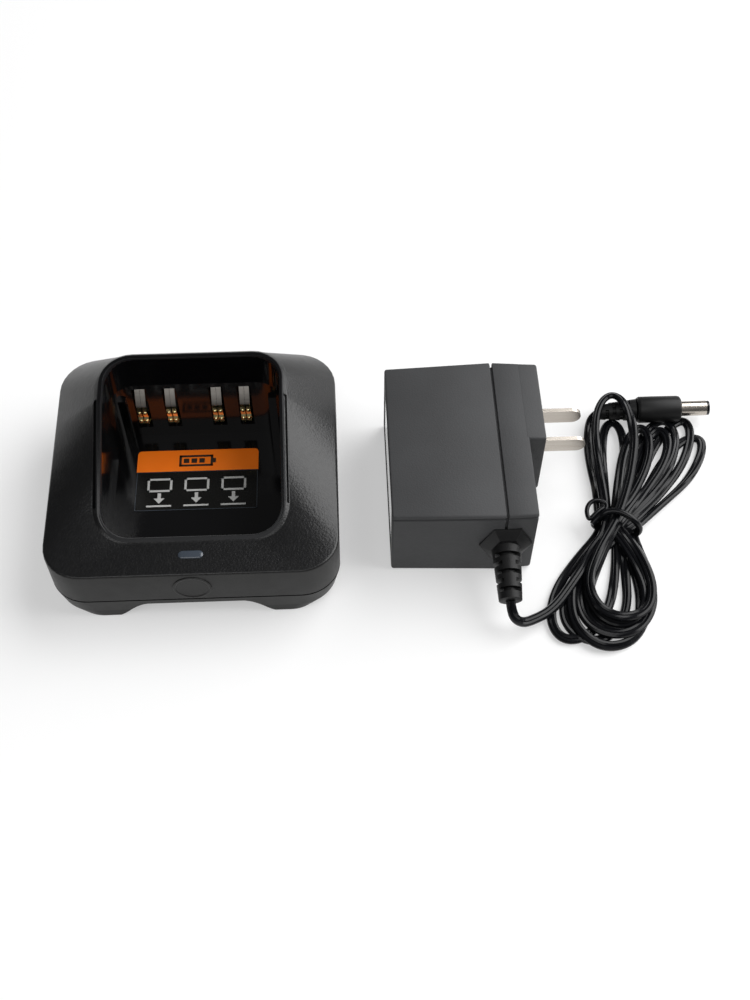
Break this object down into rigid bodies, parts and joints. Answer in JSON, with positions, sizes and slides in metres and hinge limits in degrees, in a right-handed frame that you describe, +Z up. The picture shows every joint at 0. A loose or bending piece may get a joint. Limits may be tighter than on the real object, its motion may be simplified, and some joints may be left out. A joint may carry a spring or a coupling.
{
  "type": "radio battery desktop charger",
  "caption": "Desktop charging cradle for a portable radio battery, with sprung contacts in a sloping pocket, and a plug-in power supply with tied twin cord and barrel plug.",
  "frame": {"origin": "on the surface the set stands on, in the middle of the box of cradle and power supply, cord left out", "axes": "+X from the cradle towards the power supply and along its blades, +Y towards the back, +Z up"},
  "size_m": [0.2353, 0.1086, 0.0473],
  "materials": {
    "textured_black": "fine leather-grain moulded texture, satin sheen",
    "gloss_black": "polished",
    "base_black": "very fine spark-eroded texture",
    "rubber_black": "matt",
    "zinc_steel": "zinc plated",
    "plate_film": "smooth film, left blank",
    "lens_grey": "frosted, unlit",
    "circuit_board": "solder mask",
    "led_body": "clear resin",
    "wire_jacket": "extruded jacket",
    "label_film": "printed film, orange band over black",
    "inner_black": "as moulded",
    "chip_black": "epoxy",
    "ferrite": "sintered ferrite",
    "capacitor_can": "sleeved can",
    "gold_contact": "gold plated over nickel",
    "adapter_black": "fine moulded texture",
    "nickel_plate": "bright nickel",
    "winding_tape": "polyester tape over copper",
    "fuse_ceramic": "moulded body",
    "cord_jacket": "soft extruded vinyl, satin",
    "tie_jacket": "vinyl over wire"
  },
  "bodies": {
    "cradle": {"board_screws": "zinc_steel", "bottom_cover": "base_black", "case_screws": "zinc_steel", "contact_carrier": "inner_black", "controller_chip": "chip_black", "dc_jack_housing": "inner_black", "filter_capacitors": "capacitor_can", "front_badge": "base_black", "indicator_led": "led_body", "indicator_lens": "lens_grey", "indicator_wires": "wire_jacket", "jack_centre_pin": "gold_contact", "jack_side_spring": "gold_contact", "led_board": "circuit_board", "main_board": "circuit_board", "pocket_insert": "gloss_black", "pocket_label": "label_film", "power_diodes": "chip_black", "power_inductor": "ferrite", "rating_plate": "plate_film", "rubber_feet": "rubber_black", "top_cover": "textured_black"},
    "power_supply": {"adapter_case": "adapter_black", "adapter_cap": "adapter_black", "live_blade": "nickel_plate", "neutral_blade": "nickel_plate", "blade_carrier": "inner_black", "adapter_board": "circuit_board", "transformer_core": "ferrite", "transformer_winding": "winding_tape", "input_capacitor": "capacitor_can", "output_capacitor": "capacitor_can", "input_fuse": "fuse_ceramic", "switching_transistor": "chip_black", "adapter_label": "plate_film", "cord_lead": "cord_jacket", "cord_hank_upper": "cord_jacket", "cord_hank_lower": "cord_jacket", "cord_tie": "tie_jacket", "plug_strain_relief": "cord_jacket", "plug_body": "cord_jacket", "plug_barrel": "nickel_plate", "plug_insulator": "inner_black", "strain_relief": "cord_jacket"},
    "battery_contact_1_body": {"battery_contact_1": "gold_contact"},
    "battery_contact_2_body": {"battery_contact_2": "gold_contact"},
    "battery_contact_3_body": {"battery_contact_3": "gold_contact"},
    "battery_contact_4_body": {"battery_contact_4": "gold_contact"}
  },
  "joints": [
    {"name": "power_supply_lift", "type": "slide", "parent": "cradle", "child": "power_supply", "axis": [0, 0, 1], "range_m": [0, 0.05]},
    {"name": "contact_1_press", "type": "slide", "parent": "cradle", "child": "battery_contact_1_body", "axis": [0, 1, 0], "range_m": [0, 0.0012], "stiffness_N_per_m": 300},
    {"name": "contact_2_press", "type": "slide", "parent": "cradle", "child": "battery_contact_2_body", "axis": [0, 1, 0], "range_m": [0, 0.0012], "stiffness_N_per_m": 300},
    {"name": "contact_3_press", "type": "slide", "parent": "cradle", "child": "battery_contact_3_body", "axis": [0, 1, 0], "range_m": [0, 0.0012], "stiffness_N_per_m": 300},
    {"name": "contact_4_press", "type": "slide", "parent": "cradle", "child": "battery_contact_4_body", "axis": [0, 1, 0], "range_m": [0, 0.0012], "stiffness_N_per_m": 300}
  ]
}
